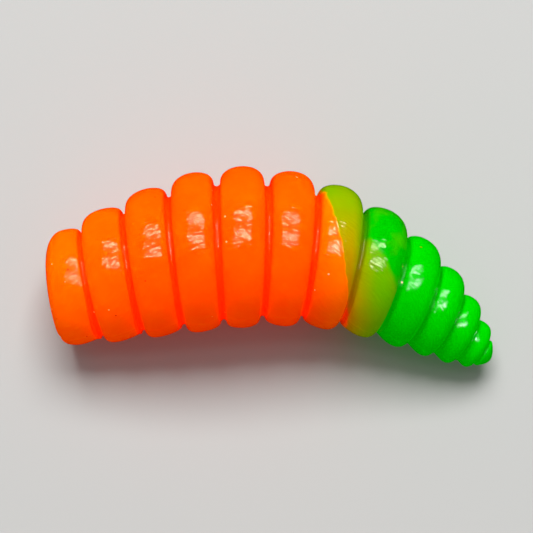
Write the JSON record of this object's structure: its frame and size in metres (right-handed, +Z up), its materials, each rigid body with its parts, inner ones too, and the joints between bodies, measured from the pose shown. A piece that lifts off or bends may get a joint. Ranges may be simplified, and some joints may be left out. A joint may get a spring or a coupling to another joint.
{
  "type": "soft plastic worm",
  "caption": "Curled, ringed soft plastic fishing grub in two colours, with a blunt nose, tapering tail and grooves that bend.",
  "frame": {"origin": "middle of the bounding box in plan, on the table that the bait lies on", "axes": "+X from the blunt nose to the tail tip, +Y towards the back, which is the outer side of the curl, +Z up"},
  "size_m": [0.0348, 0.015, 0.0126],
  "materials": {
    "orange_plastisol": "gloss",
    "blend_plastisol": "gloss",
    "green_plastisol": "gloss"
  },
  "bodies": {
    "segment_01_head": {"segment_01_head": "orange_plastisol"},
    "segment_02": {"segment_02": "orange_plastisol"},
    "segment_03": {"segment_03": "orange_plastisol"},
    "segment_04": {"segment_04": "orange_plastisol"},
    "segment_05": {"segment_05": "orange_plastisol"},
    "segment_06": {"segment_06": "orange_plastisol"},
    "segment_07": {"segment_07": "blend_plastisol"},
    "segment_08": {"segment_08": "blend_plastisol"},
    "segment_09": {"segment_09": "green_plastisol"},
    "segment_10": {"segment_10": "green_plastisol"},
    "segment_11": {"segment_11": "green_plastisol"},
    "segment_12": {"segment_12": "green_plastisol"},
    "segment_13_tail_tip": {"segment_13_tail_tip": "green_plastisol"},
    "neck_01": {"neck_01": "orange_plastisol"},
    "neck_02": {"neck_02": "orange_plastisol"},
    "neck_03": {"neck_03": "orange_plastisol"},
    "neck_04": {"neck_04": "orange_plastisol"},
    "neck_05": {"neck_05": "orange_plastisol"},
    "neck_06": {"neck_06": "orange_plastisol"},
    "neck_07": {"neck_07": "blend_plastisol"},
    "neck_08": {"neck_08": "green_plastisol"},
    "neck_09": {"neck_09": "green_plastisol"},
    "neck_10": {"neck_10": "green_plastisol"},
    "neck_11": {"neck_11": "green_plastisol"},
    "neck_12": {"neck_12": "green_plastisol"}
  },
  "joints": [
    {"name": "side_bend_01", "type": "hinge", "parent": "segment_01_head", "child": "neck_01", "pos_m": [-0.01389, -0.00139, 0.0049], "axis": [-0.0801, -0.0156, 0.9967], "range_deg": [-3.6, 3.6], "stiffness_Nm_per_rad": 0.00952, "deforming": ["neck_01"]},
    {"name": "lift_bend_01", "type": "hinge", "parent": "neck_01", "child": "segment_02", "pos_m": [-0.01389, -0.00139, 0.0049], "axis": [0.1907, -0.9816, 0], "range_deg": [0, 2.4], "stiffness_Nm_per_rad": 0.00952, "deforming": ["neck_01"]},
    {"name": "side_bend_02", "type": "hinge", "parent": "segment_02", "child": "neck_02", "pos_m": [-0.01061, -0.00054, 0.00554], "axis": [-0.0663, -0.0105, 0.9977], "range_deg": [-3.6, 3.6], "stiffness_Nm_per_rad": 0.0151, "deforming": ["neck_02"]},
    {"name": "lift_bend_02", "type": "hinge", "parent": "neck_02", "child": "segment_03", "pos_m": [-0.01061, -0.00054, 0.00554], "axis": [0.1556, -0.9878, 0], "range_deg": [0, 2.4], "stiffness_Nm_per_rad": 0.0151, "deforming": ["neck_02"]},
    {"name": "side_bend_03", "type": "hinge", "parent": "segment_03", "child": "neck_03", "pos_m": [-0.0073, 0.00024, 0.00604], "axis": [-0.0485, -0.0052, 0.9988], "range_deg": [-3.6, 3.6], "stiffness_Nm_per_rad": 0.0207, "deforming": ["neck_03"]},
    {"name": "lift_bend_03", "type": "hinge", "parent": "neck_03", "child": "segment_04", "pos_m": [-0.0073, 0.00024, 0.00604], "axis": [0.1074, -0.9942, 0], "range_deg": [0, 2.4], "stiffness_Nm_per_rad": 0.0207, "deforming": ["neck_03"]},
    {"name": "side_bend_04", "type": "hinge", "parent": "segment_04", "child": "neck_04", "pos_m": [-0.00392, 0.0008, 0.00634], "axis": [-0.0164, -0.0008, 0.9999], "range_deg": [-3.6, 3.6], "stiffness_Nm_per_rad": 0.0243, "deforming": ["neck_04"]},
    {"name": "lift_bend_04", "type": "hinge", "parent": "neck_04", "child": "segment_05", "pos_m": [-0.00392, 0.0008, 0.00634], "axis": [0.0481, -0.9988, 0], "range_deg": [0, 2.4], "stiffness_Nm_per_rad": 0.0243, "deforming": ["neck_04"]},
    {"name": "side_bend_05", "type": "hinge", "parent": "segment_05", "child": "neck_05", "pos_m": [-0.00049, 0.00097, 0.00622], "axis": [0.0622, -0.0013, 0.9981], "range_deg": [-3.6, 3.6], "stiffness_Nm_per_rad": 0.0216, "deforming": ["neck_05"]},
    {"name": "lift_bend_05", "type": "hinge", "parent": "neck_05", "child": "segment_06", "pos_m": [-0.00049, 0.00097, 0.00622], "axis": [-0.0211, -0.9998, 0], "range_deg": [0, 2.4], "stiffness_Nm_per_rad": 0.0216, "deforming": ["neck_05"]},
    {"name": "side_bend_06", "type": "hinge", "parent": "segment_06", "child": "neck_06", "pos_m": [0.00291, 0.00068, 0.00588], "axis": [0.1022, -0.0102, 0.9947], "range_deg": [-3.6, 3.6], "stiffness_Nm_per_rad": 0.0167, "deforming": ["neck_06"]},
    {"name": "lift_bend_06", "type": "hinge", "parent": "neck_06", "child": "segment_07", "pos_m": [0.00291, 0.00068, 0.00588], "axis": [-0.099, -0.9951, 0], "range_deg": [0, 2.4], "stiffness_Nm_per_rad": 0.0167, "deforming": ["neck_06"]},
    {"name": "side_bend_07", "type": "hinge", "parent": "segment_07", "child": "neck_07", "pos_m": [0.00622, -0.00013, 0.00539], "axis": [0.1396, -0.0262, 0.9899], "range_deg": [-3.6, 3.6], "stiffness_Nm_per_rad": 0.0113, "deforming": ["neck_07"]},
    {"name": "lift_bend_07", "type": "hinge", "parent": "neck_07", "child": "segment_08", "pos_m": [0.00622, -0.00013, 0.00539], "axis": [-0.1844, -0.9829, 0], "range_deg": [0, 2.4], "stiffness_Nm_per_rad": 0.0113, "deforming": ["neck_07"]},
    {"name": "side_bend_08", "type": "hinge", "parent": "segment_08", "child": "neck_08", "pos_m": [0.00934, -0.0014, 0.00473], "axis": [0.1807, -0.0519, 0.9822], "range_deg": [-3.6, 3.6], "stiffness_Nm_per_rad": 0.00688, "deforming": ["neck_08"]},
    {"name": "lift_bend_08", "type": "hinge", "parent": "neck_08", "child": "segment_09", "pos_m": [0.00934, -0.0014, 0.00473], "axis": [-0.2759, -0.9612, 0], "range_deg": [0, 2.4], "stiffness_Nm_per_rad": 0.00688, "deforming": ["neck_08"]},
    {"name": "side_bend_09", "type": "hinge", "parent": "segment_09", "child": "neck_09", "pos_m": [0.01184, -0.00281, 0.004], "axis": [0.2069, -0.0794, 0.9751], "range_deg": [-3.6, 3.6], "stiffness_Nm_per_rad": 0.00393, "deforming": ["neck_09"]},
    {"name": "lift_bend_09", "type": "hinge", "parent": "neck_09", "child": "segment_10", "pos_m": [0.01184, -0.00281, 0.004], "axis": [-0.3582, -0.9337, 0], "range_deg": [0, 2.4], "stiffness_Nm_per_rad": 0.00393, "deforming": ["neck_09"]},
    {"name": "side_bend_10", "type": "hinge", "parent": "segment_10", "child": "neck_10", "pos_m": [0.01381, -0.00417, 0.00335], "axis": [0.2002, -0.095, 0.9751], "range_deg": [-3.6, 3.6], "stiffness_Nm_per_rad": 0.00188, "deforming": ["neck_10"]},
    {"name": "lift_bend_10", "type": "hinge", "parent": "neck_10", "child": "segment_11", "pos_m": [0.01381, -0.00417, 0.00335], "axis": [-0.4287, -0.9034, 0], "range_deg": [0, 2.4], "stiffness_Nm_per_rad": 0.00188, "deforming": ["neck_10"]},
    {"name": "side_bend_11", "type": "hinge", "parent": "segment_11", "child": "neck_11", "pos_m": [0.01534, -0.00535, 0.00283], "axis": [0.1937, -0.1077, 0.9751], "range_deg": [-3.6, 3.6], "stiffness_Nm_per_rad": 0.000669, "deforming": ["neck_11"]},
    {"name": "lift_bend_11", "type": "hinge", "parent": "neck_11", "child": "segment_12", "pos_m": [0.01534, -0.00535, 0.00283], "axis": [-0.4861, -0.8739, 0], "range_deg": [0, 2.4], "stiffness_Nm_per_rad": 0.000669, "deforming": ["neck_11"]},
    {"name": "side_bend_12", "type": "hinge", "parent": "segment_12", "child": "neck_12", "pos_m": [0.01648, -0.00627, 0.00244], "axis": [0.188, -0.1174, 0.9751], "range_deg": [-3.6, 3.6], "stiffness_Nm_per_rad": 0.000122, "deforming": ["neck_12"]},
    {"name": "lift_bend_12", "type": "hinge", "parent": "neck_12", "child": "segment_13_tail_tip", "pos_m": [0.01648, -0.00627, 0.00244], "axis": [-0.5296, -0.8483, 0], "range_deg": [0, 2.4], "stiffness_Nm_per_rad": 0.000122, "deforming": ["neck_12"]}
  ]
}
